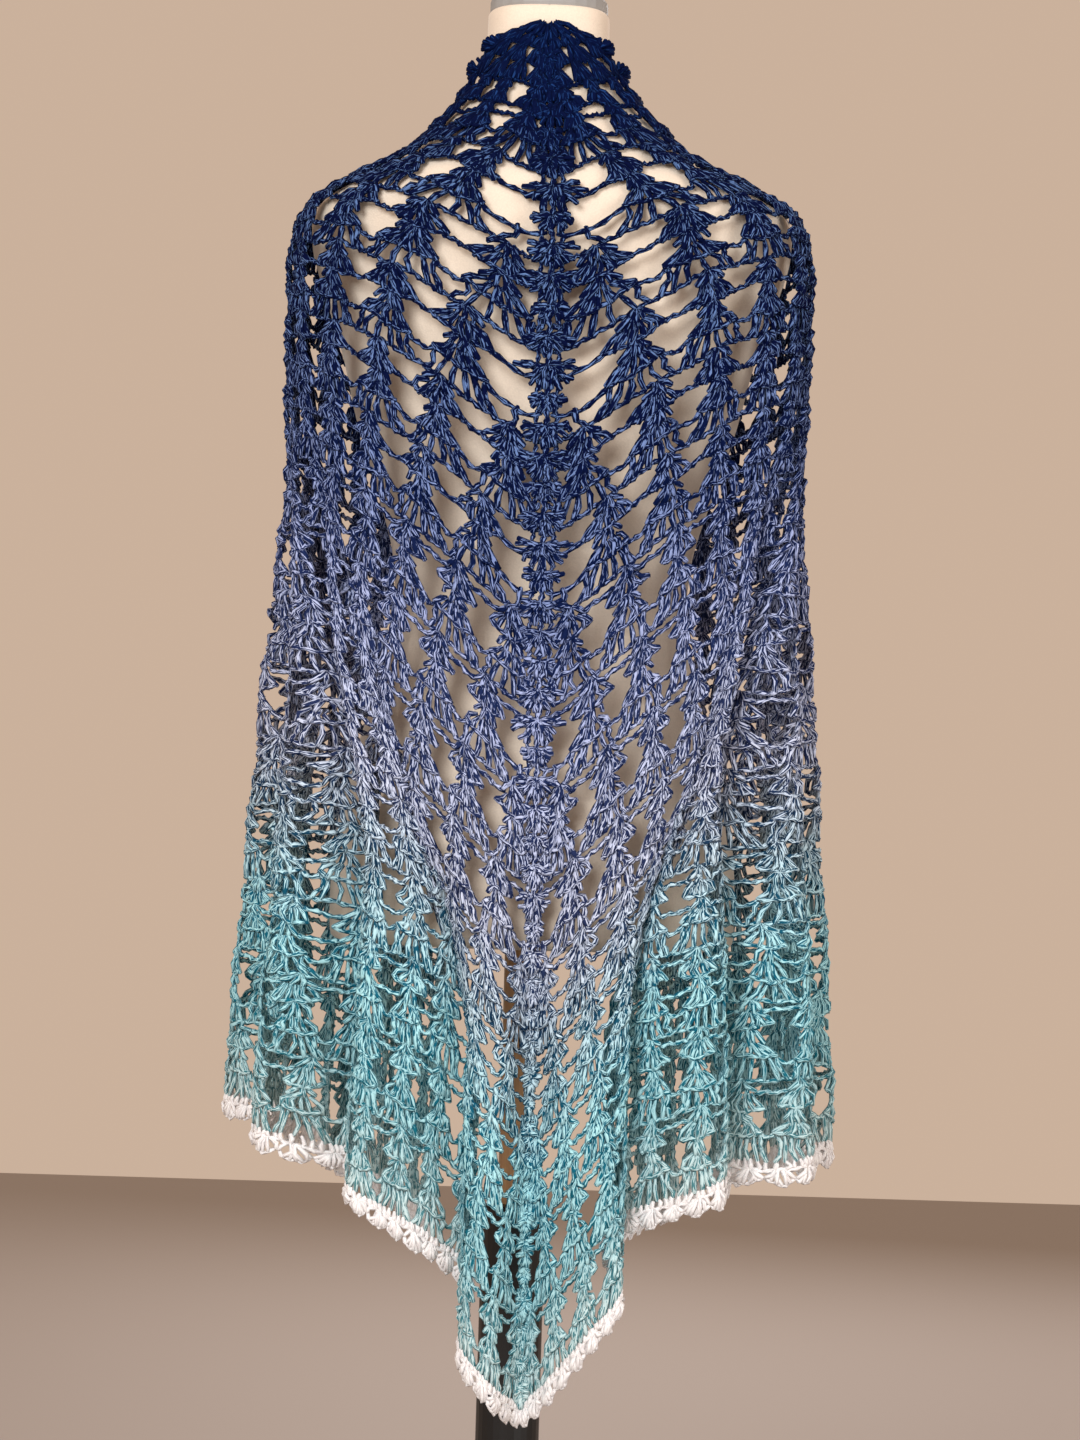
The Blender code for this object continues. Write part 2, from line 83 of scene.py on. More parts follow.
# across, azimuth at the hem, depth outward, height where the fold starts
FOLDS_LEFT = np.array((
    (0.000, 0.0, -0.016, 0.98), (0.050, 6.0, 0.020, 1.00), (0.090, 10.8, 0.013, 1.00),
    (0.145, 10.5, -0.030, 0.98), (0.205, 19.0, -0.008, 1.10), (0.275, 33.0, 0.016, 1.15),
    (0.325, 39.0, -0.032, 1.25), (0.385, 57.0, 0.020, 1.28), (0.440, 72.0, -0.030, 1.28),
    (0.505, 91.0, 0.012, 1.28), (0.570, 106.0, -0.028, 1.28), (0.640, 118.0, 0.018, 1.25),
    (0.710, 128.0, -0.028, 1.20), (0.780, 137.0, 0.018, 1.15), (0.850, 145.0, -0.025, 1.10),
    (0.920, 153.0, 0.015, 1.10), (1.000, 160.0, -0.004, 1.10),
))
FOLDS_RIGHT = np.array((
    (0.000, 0.0, -0.016, 0.98), (0.045, 6.0, 0.004, 1.00), (0.085, 12.0, 0.016, 1.00),
    (0.125, 17.5, 0.010, 1.00), (0.180, 16.0, -0.034, 1.00), (0.235, 25.0, -0.004, 1.10),
    (0.285, 37.0, 0.018, 1.20), (0.335, 43.0, -0.032, 1.25), (0.400, 61.0, 0.020, 1.28),
    (0.460, 77.0, -0.030, 1.28), (0.520, 93.0, 0.012, 1.28), (0.580, 107.0, -0.028, 1.28),
    (0.650, 119.0, 0.018, 1.25), (0.720, 129.0, -0.028, 1.20), (0.790, 138.0, 0.018, 1.15),
    (0.860, 146.0, -0.025, 1.10), (0.930, 153.5, 0.015, 1.10), (1.000, 160.0, -0.004, 1.10),
))
print("rows in the tables", len(ENVELOPE), len(ROWS), len(FOLDS_LEFT), len(FOLDS_RIGHT))


# %% From shares of the cloth to points in space
def follow(x, xs, ys, level_start=False):
    """Cubic through a table's points whose slope is the harmonic mean of its neighbours' slopes."""
    rise = np.diff(ys) / np.diff(xs)
    slope = np.zeros_like(ys)
    same = rise[:-1] * rise[1:] > 0
    slope[1:-1] = np.where(same, 2 * rise[:-1] * rise[1:] / np.where(same, rise[:-1] + rise[1:], 1), 0)
    slope[0] = 0.0 if level_start else rise[0]
    slope[-1] = rise[-1]
    i = np.clip(np.searchsorted(xs, x, side="right") - 1, 0, len(xs) - 2)
    step = xs[i + 1] - xs[i]
    u = np.clip((x - xs[i]) / step, 0, 1)
    return ((1 + 2 * u) * (1 - u) ** 2 * ys[i] + u * (1 - u) ** 2 * step * slope[i]
            + u * u * (3 - 2 * u) * ys[i + 1] + u * u * (u - 1) * step * slope[i + 1])


def soft_step(u):
    """0 below 0, 1 above 1, and 3u squared less 2u cubed between."""
    u = np.clip(u, 0, 1)
    return u * u * (3 - 2 * u)


def section(table, z, azimuth, outward=0.0):
    """Half width times sine, depth times cosine, pushed out along the oval's normal."""
    half, back, front = (follow(-z, -table[:, 0], table[:, k]) for k in (1, 2, 3))
    sin, cos = np.sin(azimuth), np.cos(azimuth)
    deep = np.where(cos > 0, back, front)
    normal_x, normal_y = sin / half, -cos / deep
    norm = np.hypot(normal_x, normal_y)
    return (half * sin + outward * normal_x / norm,
            -deep * (1 + SQUARE * sin ** 2) * cos + outward * normal_y / norm)


def climb(u, power):
    """Share of its rise that a row has made: 1 less (1 less a softened u) to a power."""
    soft = np.clip(1.10 * u * u / (u + 0.10), 0, 1)
    return 1 - (1 - soft) ** power


def drape(across, down):
    """Middle of the cloth: across is 0 at the spine and 1 or -1 at the front edges, down 0 to 1."""
    side = np.where(across < 0, -1.0, 1.0)
    s = np.clip(np.abs(across), 0, 1)
    t = np.clip(down, 0, 1)
    spine, side_az, side_z, edge_az, edge_z = (follow(t, ROWS[:, 0], ROWS[:, k]) for k in range(1, 6))
    side_z = side_z - side * SIDE_LIFT * t * t
    power = NECK_POWER + (np.where(side < 0, *HEM_POWER) - NECK_POWER) * t * t
    z = np.where(s < 0.5, spine + (side_z - spine) * climb(np.clip(2 * s, 0, 1), power),
                 side_z + (edge_z - side_z) * np.clip(2 * s - 1, 0, 1) ** FRONT_POWER)
    z = z - (down - t)
    azimuth = 4 * s * (1 - s) * side_az + s * (2 * s - 1) * edge_az
    hem_az, depth, start = (
        np.where(side < 0, follow(s, FOLDS_LEFT[:, 0], FOLDS_LEFT[:, k], k > 1),
                 follow(s, FOLDS_RIGHT[:, 0], FOLDS_RIGHT[:, k], k > 1)) for k in (1, 2, 3))
    open_ = soft_step((start - z) / FADE)
    azimuth = np.radians(azimuth + (hem_az - azimuth) * open_)
    x, y = section(ENVELOPE, z, azimuth, depth * open_)
    centre = follow(-z, -ENVELOPE[:, 0], ENVELOPE[:, 4])
    return np.stack([side * x + centre, y, z], -1)


def unit(vectors):
    """Each vector divided by its length."""
    return vectors / np.maximum(np.linalg.norm(vectors, axis=-1, keepdims=True), 1e-12)


def outward_of(across, down, step=0.0015):
    """Unit normals of the cloth: the cross product of a step down and a step across."""
    across = np.clip(across, -1, 1)
    low, high = np.maximum(across - step, -1), np.minimum(across + step, 1)
    step_down = drape(across, down + step) - drape(across, down - step)
    step_across = drape(high, down) - drape(low, down)
    return unit(np.cross(step_down, step_across))


# %% Lengths of the rows, measured on the drape
NECK_LINE = 0.004        # the first row is a single point, so it is measured a little lower


def measured_row(down, points=160):
    """Length of half a row: the sum of the straight steps between points along it."""
    line = drape(np.linspace(0, 1, points), np.full(points, max(down, NECK_LINE)))
    return np.linalg.norm(np.diff(line, axis=0), axis=1).sum()


HALF_ROWS = np.array([(t, measured_row(t)) for t in np.linspace(0, 1, 21)])


def half_row(down):
    """Length of half a row, spine to front edge, read from the table of measured rows."""
    return np.interp(down, HALF_ROWS[:, 0], HALF_ROWS[:, 1])


print("half rows at neck, middle and hem:", [round(float(half_row(t)), 3) for t in (0.05, 0.5, 1.0)])

# %% [markdown]
# ## Yarn as short closed tubes
# A crochet stitch is a loop of soft yarn, thick in its middle and drawn in where the next
# stitch grips it. Each one is a tube with a pole at either end. All the tubes of a kind
# are made at once: their paths are one array of shares of the cloth, and rings of points
# are set round every path in a frame of tangent, side and normal. Bevelled curves would
# draw the same loops, but thousands of them are slow to make.


# %% Tubes along many paths at once
DRIFT = 0.0015           # metres that one wave of unevenness moves a point
SHORTEST = 0.003         # a path shorter than this is left out
STAND_OFF = 0.0008       # the yarn's middle lies this far outside the cloth's middle
ANY_TURN = 6.28          # a tube starts at any angle round its path
POLE_REACH = 0.5         # a pole stands this share of the radius beyond its ring
GRAIN_ALONG = 105.0      # the grain runs this much a metre along a tube,
GRAIN_ROUND = 2.3        # lies this far from the middle of its noise all round it,
GRAIN_START = (910.0, 570.0, 330.0)   # and starts anywhere up to here
# Painted shade: a pole gets this share of the unshaded mask, so the yarn's ends are painted partly shaded.
POLE_UNSHADED = 0.6         # how far a pole counts as the top of its strand


def uneven(across, down):
    """Hand-made unevenness: three sines of the place in metres shift a point along the cloth.

    Together they come to 2.7 drifts, about 4 mm, each way, and to nothing at the spine, edges and neck.
    """
    x, y = across * half_row(down), down * DOWN_SCALE
    free = np.clip(4 * np.abs(across) * (1 - np.abs(across)), 0, 1) * np.clip(8 * down, 0, 1)
    dx = np.sin(131 * x + 47 * y) + np.sin(83 * y - 61 * x + 1.3) + 0.7 * np.sin(210 * x - 190 * y)
    dy = np.sin(119 * y - 53 * x + 2.1) + np.sin(97 * x + 71 * y) + 0.7 * np.sin(230 * y + 170 * x)
    return across + DRIFT * free * dx / half_row(down), down + DRIFT * free * dy / DOWN_SCALE


def tubes(across, down, height, radius, sides=5, wide=1.22, flat_by=0.80, weave=0.0):
    """Rings on paths: point = path + r (wide cos a side + flat sin a normal); arrays are paths by points."""
    across, down = uneven(across, down)
    normal = outward_of(across, down)
    path = drape(across, down) + (height + STAND_OFF)[..., None] * normal
    seed = rng.uniform(0, 1, (len(path), 1))
    real = np.linalg.norm(np.diff(path, axis=1), axis=-1).sum(1) > SHORTEST
    across, down, radius, normal, path, seed = (v[real] for v in (across, down, radius, normal, path, seed))
    tangent = unit(np.gradient(path, axis=1))
    aside = unit(np.cross(tangent, normal))
    upward = np.cross(aside, tangent)
    path = path + weave * aside * np.where(np.arange(across.shape[1]) % 4 < 2, 1.0, -1.0)[:, None]
    count, points = across.shape
    angle = 2 * math.pi * (np.arange(sides) + 0.5 * (np.arange(points)[:, None] % 2)) / sides
    angle = angle[None] + ANY_TURN * seed[..., None]
    cos, sin = np.cos(angle), np.sin(angle)
    ring = path[:, :, None] + radius[:, :, None, None] * (
        wide * cos[..., None] * aside[:, :, None] + flat_by * sin[..., None] * upward[:, :, None])
    beyond = np.stack([-tangent[:, 0], tangent[:, -1]], 1) * radius[:, [0, -1], None] * POLE_REACH
    verts = np.concatenate([ring.reshape(count, -1, 3), path[:, [0, -1]] + beyond], 1)
    steps = np.linalg.norm(np.diff(path, axis=1), axis=-1)
    along = np.concatenate([np.zeros((count, 1)), np.cumsum(steps, 1)], 1)
    run = np.broadcast_to(along[:, :, None] * GRAIN_ALONG, cos.shape)
    grain = np.stack([run, cos * GRAIN_ROUND, sin * GRAIN_ROUND], -1).reshape(count, -1, 3)
    grain = np.concatenate([grain, along[:, [0, -1], None] * (GRAIN_ALONG, 0, 0)], 1)
    grain = grain + seed[..., None] * GRAIN_START
    # Painted shade mask: 1 on a tube's top and underside, falling to 0 on its sides, where the material
    # paints shade.
    crown = np.concatenate([np.abs(sin).reshape(count, -1), np.full((count, 2), POLE_UNSHADED)], 1)
    flat = np.stack([across, down], -1)
    flat = np.concatenate([np.repeat(flat, sides, 1), flat[:, [0, -1]]], 1)
    ring_id = np.arange(points * sides).reshape(points, sides)
    after = np.roll(ring_id, -1, 1)
    quads = np.stack([ring_id[:-1], ring_id[1:], after[1:], after[:-1]], -1).reshape(-1, 4)
    first, last = points * sides, points * sides + 1
    caps = np.concatenate([np.stack([ring_id[0], after[0], np.full(sides, first)], -1),
                           np.stack([after[-1], ring_id[-1], np.full(sides, last)], -1)])
    base = np.arange(count)[:, None, None] * (points * sides + 2)
    return {"verts": verts.reshape(-1, 3), "grain": grain.reshape(-1, 3), "flat": flat.reshape(-1, 2),
            "crown": crown.ravel(), "quads": (quads + base).reshape(-1, 4),
            "caps": (caps + base).reshape(-1, 3)}


def joined(parts):
    """One set of arrays from many: corner numbers move up by the points before them."""
    start = np.cumsum([0] + [len(p["verts"]) for p in parts])
    out = {k: np.concatenate([p[k] for p in parts]) for k in ("verts", "grain", "flat", "crown")}
    for k in ("quads", "caps"):
        out[k] = np.concatenate([p[k] + s for p, s in zip(parts, start)])
    return out


pieces = {}


def yarn_object(name, parts, material):
    """A mesh of quads and triangles with its grain, its depth down the cloth and a flat map."""
    data = joined(parts)
    quads, caps = data["quads"], data["caps"]
    mesh = bpy.data.meshes.new(name)
    mesh.vertices.add(len(data["verts"]))
    mesh.vertices.foreach_set("co", data["verts"].astype(np.float32).ravel())
    corners = np.concatenate([quads.ravel(), caps.ravel()]).astype(np.int32)
    starts = np.concatenate([4 * np.arange(len(quads)), 4 * len(quads) + 3 * np.arange(len(caps))])
    mesh.loops.add(len(corners))
    mesh.loops.foreach_set("vertex_index", corners)
    mesh.polygons.add(len(starts))
    mesh.polygons.foreach_set("loop_start", starts.astype(np.int32))
    mesh.update(calc_edges=True)
    mesh.validate()
    mesh.shade_smooth()
    for label, kind, key, values in (
            ("grain", "FLOAT_VECTOR", "vector", data["grain"]),
            ("depth", "FLOAT", "value", data["flat"][:, 1]),
            ("crown", "FLOAT", "value", data["crown"])):
        mesh.attributes.new(label, kind, "POINT").data.foreach_set(key, values.astype(np.float32).ravel())
    flat_map = mesh.uv_layers.new(name="OFBake")
    spread = data["flat"] - data["flat"].min(0)
    spread = 0.01 + 0.98 * spread / np.maximum(spread.max(0), 1e-9)
    flat_map.uv.foreach_set("vector", spread[corners].astype(np.float32).ravel())
    piece = bpy.data.objects.new(name, mesh)
    bpy.context.scene.collection.objects.link(piece)
    mesh.materials.append(material)
    pieces[name] = piece
    print(name, "triangles", 2 * len(quads) + len(caps))


# %% [markdown]
# ## Shader maths in plain expressions
# A node tree is easier to read as arithmetic. This small class wraps a socket, so that
# a + b adds a Math node, and one method makes any other node with its settings first.


# %% Sockets that can be added, multiplied and mixed
class Wire:
    """A socket of a node tree; sums and products of wires add Math nodes."""

    def __init__(self, tree, socket):
        self.tree, self.socket = tree, socket

    def math(self, operation, *values):
        return node(self.tree, "ShaderNodeMath", {"operation": operation}, dict(enumerate(values)))

    def __add__(self, other):
        return self.math("ADD", self, other)

    def __sub__(self, other):
        return self.math("SUBTRACT", self, other)

    def __rsub__(self, other):
        return self.math("SUBTRACT", other, self)

    def __mul__(self, other):
        return self.math("MULTIPLY", self, other)

    __radd__ = __add__
    __rmul__ = __mul__


def node(tree, kind, settings=None, inputs=None, out=0):
    """Any node: its settings, then the values or wires of its sockets; gives one output."""
    made = tree.nodes.new(kind)
    for key, value in (settings or {}).items():
        if key == "stops":
            ramp = made.color_ramp
            for place, colour in value[1:-1]:
                ramp.elements.new(place).color = (*colour, 1)
            for end, (place, colour) in ((0, value[0]), (-1, value[-1])):
                ramp.elements[end].position = place
                ramp.elements[end].color = (*colour, 1)
        else:
            setattr(made, key, value)
    for key, value in (inputs or {}).items():
        if isinstance(value, Wire):
            tree.links.new(value.socket, made.inputs[key])
        else:
            made.inputs[key].default_value = value
    return Wire(tree, made.outputs[out])


def mixed(tree, factor, a, b, blend="MIX"):
    """Colour a where the factor is 0 and b where it is 1, or their blend."""
    made = tree.nodes.new("ShaderNodeMix")
    made.data_type, made.blend_type = "RGBA", blend
    for key, value in ((0, factor), (6, a), (7, b)):
        if isinstance(value, Wire):
            tree.links.new(value.socket, made.inputs[key])
        else:
            made.inputs[key].default_value = value if key == 0 else (*value, 1)
    return Wire(tree, made.outputs[2])


def material(name, **fixed):
    """A new material, its tree and its shader, with the values that are the same all over."""
    made = bpy.data.materials.new(name)
    made.use_nodes = True
    shader = made.node_tree.nodes["Principled BSDF"]
    for key, value in fixed.items():
        shader.inputs[key.replace("_", " ")].default_value = value
    return made, made.node_tree, shader


# %% [markdown]
# ## Cotton yarn that changes colour
# The yarn is several fine threads laid side by side, and one thread after another is
# swapped for the next colour, so each shade is a mix of a dark and a light thread. Two ramps
# run down the cloth, and long thin flecks along the yarn choose between them. The flecks
# are noise on an attribute that runs along each tube, so they follow every stitch.

# %% Colours down the cloth and the yarn's material
# depth down the cloth and the colour of the dark thread there, then of the light one
DARK = ((0.00, (0.001, 0.006, 0.044)), (0.12, (0.001, 0.004, 0.034)), (0.30, (0.001, 0.004, 0.036)),
        (0.42, (0.002, 0.008, 0.050)), (0.52, (0.012, 0.024, 0.092)), (0.68, (0.022, 0.034, 0.100)),
        (0.75, (0.010, 0.046, 0.098)), (0.84, (0.008, 0.135, 0.215)), (0.93, (0.010, 0.150, 0.210)),
        (1.00, (0.090, 0.260, 0.290)))
LIGHT = ((0.00, (0.006, 0.030, 0.130)), (0.09, (0.014, 0.052, 0.195)), (0.15, (0.115, 0.210, 0.450)),
         (0.30, (0.130, 0.220, 0.470)), (0.42, (0.225, 0.305, 0.590)), (0.52, (0.450, 0.520, 0.820)),
         (0.68, (0.680, 0.740, 0.930)), (0.75, (0.640, 0.820, 0.940)), (0.84, (0.500, 0.900, 0.960)),
         (0.93, (0.450, 0.780, 0.840)), (1.00, (0.670, 0.840, 0.850)))
WHITE_DARK, WHITE_LIGHT = (0.80, 0.76, 0.76), (0.98, 0.97, 0.97)
# Painted shade: the sides of each strand are darkened by this tint.
PAINTED_SHADE_TINT = (0.40, 0.40, 0.46)      # a strand's sides are darkened by this
FLECK_FROM, FLECK_TO = 0.50, 0.53     # streaks above these are the light thread
PALER_FROM, PALER_BY = 0.7, 0.14      # the light thread shows more below this depth, and less above it


def yarn_material(name, dark, light, shade_strength):
    """Mix of a dark and a light ramp by streaks of noise along the yarn, with painted shade on each strand's
    sides.
    """
    made, tree, shader = material(name, Roughness=0.85, Specular_IOR_Level=0.05)
    grain = node(tree, "ShaderNodeAttribute", {"attribute_name": "grain"}, out="Vector")
    down = node(tree, "ShaderNodeAttribute", {"attribute_name": "depth"}, out="Fac")
    place = node(tree, "ShaderNodeTexCoord", out="Object")
    patchy = node(tree, "ShaderNodeTexNoise", None, {"Vector": place, "Scale": 55.0, "Detail": 2.0})
    shift = down + (patchy - 0.5) * 0.05
    dark_now = node(tree, "ShaderNodeValToRGB", {"stops": dark}, {0: shift})
    light_now = node(tree, "ShaderNodeValToRGB", {"stops": light}, {0: shift})
    streak = node(tree, "ShaderNodeTexNoise", None,
                  {"Vector": grain, "Scale": 1.0, "Detail": 1.0, "Roughness": 0.5})
    threads = streak + (down - PALER_FROM) * PALER_BY
    fleck = node(tree, "ShaderNodeMapRange", {"interpolation_type": "SMOOTHSTEP"},
                 {"Value": threads, "From Min": FLECK_FROM, "From Max": FLECK_TO})
    crown = node(tree, "ShaderNodeAttribute", {"attribute_name": "crown"}, out="Fac")
    # Painted shade: the dark ramp times a grey-blue tint, laid over each strand's sides where the unshaded
    # mask is low.
    shaded_colour = mixed(tree, 1.0, dark_now, PAINTED_SHADE_TINT, "MULTIPLY")
    colour = mixed(tree, (1 - crown) * shade_strength, mixed(tree, fleck, dark_now, light_now), shaded_colour)
    fibre = node(tree, "ShaderNodeTexNoise", None, {"Vector": grain, "Scale": 3.2, "Detail": 2.0})
    tree.links.new(colour.socket, shader.inputs["Base Color"])
    raised = node(tree, "ShaderNodeBump", None,
                  {"Strength": 0.5, "Distance": 0.0006, "Height": streak + fibre * 0.6})
    tree.links.new(raised.socket, shader.inputs["Normal"])
    return made


# The last number is how strong the painted shade on the strands' sides is.
lace_yarn = yarn_material("gradient_yarn", DARK, LIGHT, 0.75)
white_yarn = yarn_material("white_yarn", ((0.0, WHITE_DARK), (1.0, WHITE_DARK)),
                           ((0.0, WHITE_LIGHT), (1.0, WHITE_LIGHT)), 0.35)
print("yarn materials", lace_yarn.name, white_yarn.name)

# %% [markdown]
# ## The stitches of the pattern
# A traditional shell lace is made of three things. A fan is a group of tall stitches that
# leave one point and spread; a chain arc is a row of small loops that leaps from fan to
# fan; a post is one tall stitch alone. Stacked fans with arcs between them leave long ovals.
# The repeat is charted here in shares of a row, so each row follows from its number alone.


# %% Stitches as arrays of paths
def posts(xa, ta, xb, tb, radius=0.0022, lift=0.0016, points=3, rise=0.0):
    """Straight stitches from foot to head: drawn in at the foot, full in the middle, raised by a sine."""
    p = np.linspace(0, 1, points)
    alike = np.broadcast_arrays(*(np.asarray(v, float) for v in (xa, ta, xb, tb)))
    xa, ta, xb, tb = (v.ravel()[:, None] for v in alike)
    count = len(xa)
    swell = np.interp(p, (0, 0.4, 0.8, 1), (0.68, 1.0, 1.05, 0.8))
    thick = radius * swell[None] * rng.uniform(0.86, 1.14, (count, 1))
    raised = lift * rng.uniform(0.5, 1.5, (count, 1)) * np.sin(math.pi * (0.15 + 0.7 * p))[None]
    raised = raised + np.ravel(rise)[:, None] * p ** 1.5
    bow = rng.normal(0, 0.0010, (2, count, 1)) * np.sin(math.pi * p)
    x = xa + (xb - xa) * p + bow[0] / half_row(0.5 * (ta + tb))
    t = ta + (tb - ta) * p + bow[1] / DOWN_SCALE
    return tubes(x, t, raised, thick)


def chain(xs, ts, length, lift=0.0, radius=0.0023, stitch=0.0060):
    """A row of loops along paths given at equal steps: radius swells and narrows once a stitch."""
    steps = max(2, round(length / stitch)) * 2
    place = np.linspace(0, xs.shape[1] - 1, steps + 1)
    i = np.clip(place.astype(int), 0, xs.shape[1] - 2)
    f = place - i
    x = xs[:, i] * (1 - f) + xs[:, i + 1] * f
    t = ts[:, i] * (1 - f) + ts[:, i + 1] * f
    thick = radius * np.where(np.arange(steps + 1) % 2, 1.0, 0.62)
    raised = lift + 0.0004 * np.where(np.arange(steps + 1) % 2, 1.0, -1.0)
    return tubes(x, t, np.broadcast_to(raised, x.shape), np.broadcast_to(thick, x.shape), weave=0.0005)


LOOSENESS = 0.035        # spread of the heads' places, in head widths
RAGGED = 0.012           # spread of their heights, in rows
DROOP = 0.05             # how much higher the outer heads are, in rows


def fan(centres, share, top, bottom, foot, head, count):
    """Stitches from a narrow foot to a wide head: share of the motif times -1..1, ends a little higher."""
    spread = np.linspace(-1, 1, count)
    loose = rng.normal(0, LOOSENESS, (len(centres), count))
    xa = centres[:, None] + share * foot * spread
    xb = centres[:, None] + share * head * (spread + loose)
    ta = top + 0 * xa
    tb = bottom - (DROOP * spread ** 2 - RAGGED * loose / LOOSENESS) / ROW_COUNT
    return xa, ta, xb, tb


# %% The repeat of one pattern row
# top and bottom in rows, half width of foot and head in motifs, stitches where roomy and where not, puff
FAN_CHART = ((0.005, 0.185, 0.030, 0.21, 5, 4, 0.0030), (0.150, 0.375, 0.130, 0.37, 9, 7, 0.0030),
             (0.355, 0.560, 0.040, 0.21, 6, 4, 0.0024), (0.530, 0.745, 0.130, 0.35, 8, 6, 0.0024))
# place of a chain over the heads of a fan, in rows, and its half width in motifs
HEAD_CHART = ((0.360, 0.37), (0.730, 0.35))
# place of a post and its drift, in motifs
POST_CHART = ((-0.17, -0.14), (-0.06, -0.05), (0.06, 0.05), (0.17, 0.14))
# of an arc: half width in motifs, start and sag in rows
TOP_ARC, LOW_ARC = (0.5, 0.0, 0.012), (0.20, 0.685, 0.085)
YOKE_ARC, BODY_ARC = (0.18, 0.31, 0.02), (0.33, 0.150, 0.0)
NECK_BAR, SKIRT_BAR = (0.38, 0.46, 0.035), (0.32, 0.50, 0.030)
ROOMY = 0.042            # a motif wider than this has the fuller fans
SPINE_GAP, BORDER_GAP = 0.0085, 0.0095   # metres left to the spine and to the border
# rows, and the radius of a strand in each
STRAND_ROWS, STRAND_RADII = (2, 7, 9, 16), (0.0027, 0.0026, 0.0024, 0.0021)


def pattern_row(side, row):
    """Fans, arcs, ovals and small cells of a row, whose motif is 1 / (2 row) of the half row wide."""
    share = 1 / (2 * row)
    middle = (row - 0.45) / ROW_COUNT
    width = share * float(half_row(middle))
    inner = SPINE_GAP / float(half_row(middle))
    outer = 1 - BORDER_GAP / float(half_row(middle))
    shift = 0.5 if row % 2 else 0.0
    fans = (np.arange(-1, 2 * row + 1) + shift + 0.5) * share
    ovals = (np.arange(-1, 2 * row + 2) + shift) * share
    fans = fans[(fans > inner + 0.18 * share) & (fans < outer - 0.12 * share)]
    ovals = ovals[(ovals > inner - 0.3 * share) & (ovals < outer + 0.3 * share)]
    full = float(np.interp(row, STRAND_ROWS, STRAND_RADII))
    out = []

    def t(v):
        """Depth down the cloth of a place given in rows from this row's start."""
        return (row - 1 + np.asarray(v, float)) / ROW_COUNT

    def x(s):
        """Share across the cloth, kept between the spine and the border, with its side's sign."""
        return side * np.clip(s, inner, outer)

    def stand(feet, top, heads, bottom, lift):
        """Single stitches from feet at one depth to heads at another."""
        out.append(posts(x(feet), t(top), x(heads), t(bottom), radius=full, lift=lift))

    for top, bottom, foot, head, many, few, puff in FAN_CHART:
        xa, ta, xb, tb = fan(fans, share, t(top), t(bottom), foot, head, many if width > ROOMY else few)
        out.append(posts(x(xa), ta, x(xb), tb, radius=full, lift=puff))
    edge = np.linspace(-1, 1, 5)
    for v, head in HEAD_CHART:
        out.append(chain(x(fans[:, None] + head * share * edge), t(v - DROOP * edge ** 2 + 0 * fans[:, None]),
                         2 * head * width, lift=0.0020))
    p = np.linspace(0, 1, 9)
    bow = 4 * p * (1 - p)
    upper = YOKE_ARC if row < 8 else BODY_ARC
    bar = [NECK_BAR] if row < 3 else [SKIRT_BAR] if 11 < row < 15 else []
    for half, start, sag in [TOP_ARC, upper, LOW_ARC] + bar:
        low = np.where(ovals - 0.5 * share < fans[0] - 0.1 * share, 0.3 * inner, ovals - half * share)
        high = np.where(ovals + 0.5 * share > fans[-1] + 0.1 * share, outer, ovals + half * share)
        low, high = np.clip(low, 0.3 * inner, outer), np.clip(high, 0.3 * inner, outer)
        inside = high - low > 0.1 * share
        low, high = low[inside], high[inside]
        arc = low[:, None] + (high - low)[:, None] * p
        out.append(chain(side * arc, t(start + sag * bow ** 0.8 + 0 * arc), 2.1 * half * width))
    for offset, drift in POST_CHART:
        stand(fans + offset * share, 0.725, fans + (offset + drift) * share, 1.01, 0.001)
    for way in (-1, 1):
        stand(ovals + way * 0.19 * share, 0.715, ovals + way * 0.17 * share, 0.885, 0.0012)
        stand(ovals + way * 0.17 * share, 0.865, ovals + way * 0.05 * share, 1.01, 0.0012)
    return out


# %% The collar: a ring of tall stitches and rows of close fans
# first and last depth, metres from one group to the next, stitches in a group
COLLAR_CHART = ((0.006, 0.020, 0.0052, 1), (0.018, 0.032, 0.014, 5),
                (0.030, 0.047, 0.018, 6), (0.045, 0.0635, 0.020, 6))


def collar(side):
    """Close fans in rings down to the first open row."""
    out = []
    for first, last, pitch, tall in COLLAR_CHART:
        length = float(half_row(0.5 * (first + last)))
        count = max(3, round(length / pitch))
        at = (np.arange(count) + 0.5) / count
        spread = np.linspace(-1, 1, tall) if tall > 1 else np.zeros(1)
        foot = at[:, None] + 0.12 / count * spread
        head = at[:, None] + 0.44 / count * spread
        out.append(posts(side * foot, first + 0 * foot, side * np.clip(head, 0, 1),
                         last - 0.002 * spread ** 2 + 0 * head, radius=0.0021, lift=0.0024))
        line = np.linspace(0, 1, 41)[None]
        out.append(chain(side * line, np.full_like(line, first), length, radius=0.0021, lift=0.0006))
    return out


# %% [markdown]
# ## The dense column down the spine
# Two stitches are added each side of the centre in every row, and they crowd together in
# a column of small leaves. The leaves are fans whose stitches leave the centre line, and
# their reach and angle vary at random, as handwork does.


# %% Leaves along the spine and borders along the front edges
LEAF_REACH = np.array((0.0205, 0.0135, 0.0170))   # metres, of the three leaves in each row
LEAF_ANGLES = (7, 19, 32, 46, 60, 76)             # degrees from straight down
BORDER_WIDTH = 0.0115                             # metres
RUN_START, RUN_LENGTH = 0.030, 1.12               # depth where the long chains start, and their metres


